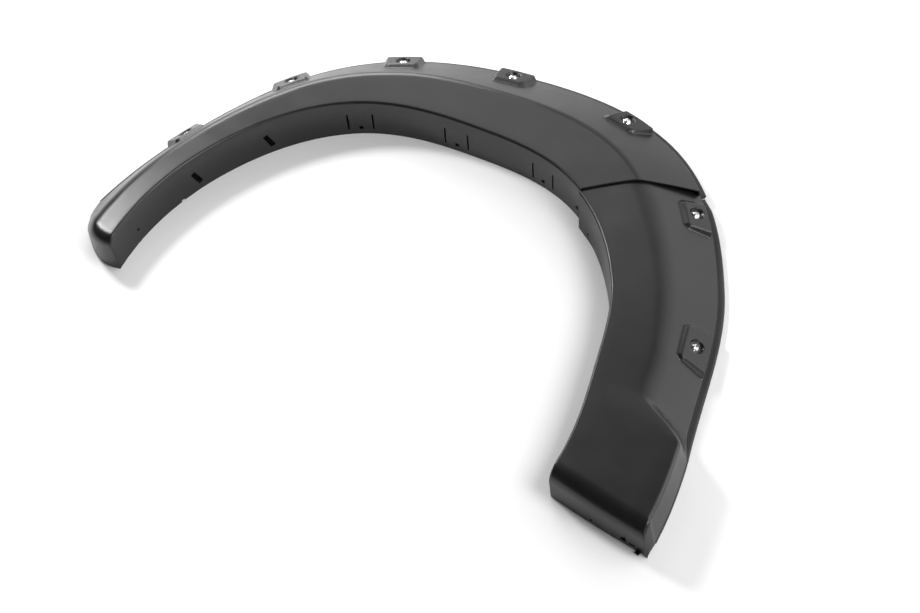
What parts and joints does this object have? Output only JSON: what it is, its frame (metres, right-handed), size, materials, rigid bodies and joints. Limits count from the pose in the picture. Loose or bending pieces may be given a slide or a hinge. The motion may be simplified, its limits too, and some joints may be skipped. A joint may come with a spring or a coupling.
{
  "type": "wheel arch trim",
  "caption": "Wide wheel arch trim in two black moulded panels with a slanted seam, screw pads and a rubber edge seal.",
  "frame": {"origin": "on the wheel's axis, in the plane of the car's side that the trim's back lies on", "axes": "+X towards the front of the car, +Y up to the crown of the arch, +Z out of the car's side"},
  "size_m": [1.1824, 0.7825, 0.0749],
  "materials": {
    "moulded_plastic": "satin black, lightly textured",
    "seal_rubber": "matte black, fine grain",
    "stainless_steel": "bright, turned",
    "zinc_steel": "zinc plated",
    "black_steel": "black zinc"
  },
  "bodies": {
    "root": {"main_arch_panel": "moulded_plastic", "front_arch_panel": "moulded_plastic", "main_edge_seal": "seal_rubber", "front_edge_seal": "seal_rubber", "main_face_screws": "stainless_steel", "front_face_screws": "stainless_steel", "main_washers": "stainless_steel", "front_washers": "stainless_steel", "main_nuts": "zinc_steel", "front_nuts": "zinc_steel", "seam_screw": "black_steel", "seam_nut": "zinc_steel"}
  },
  "joints": []
}
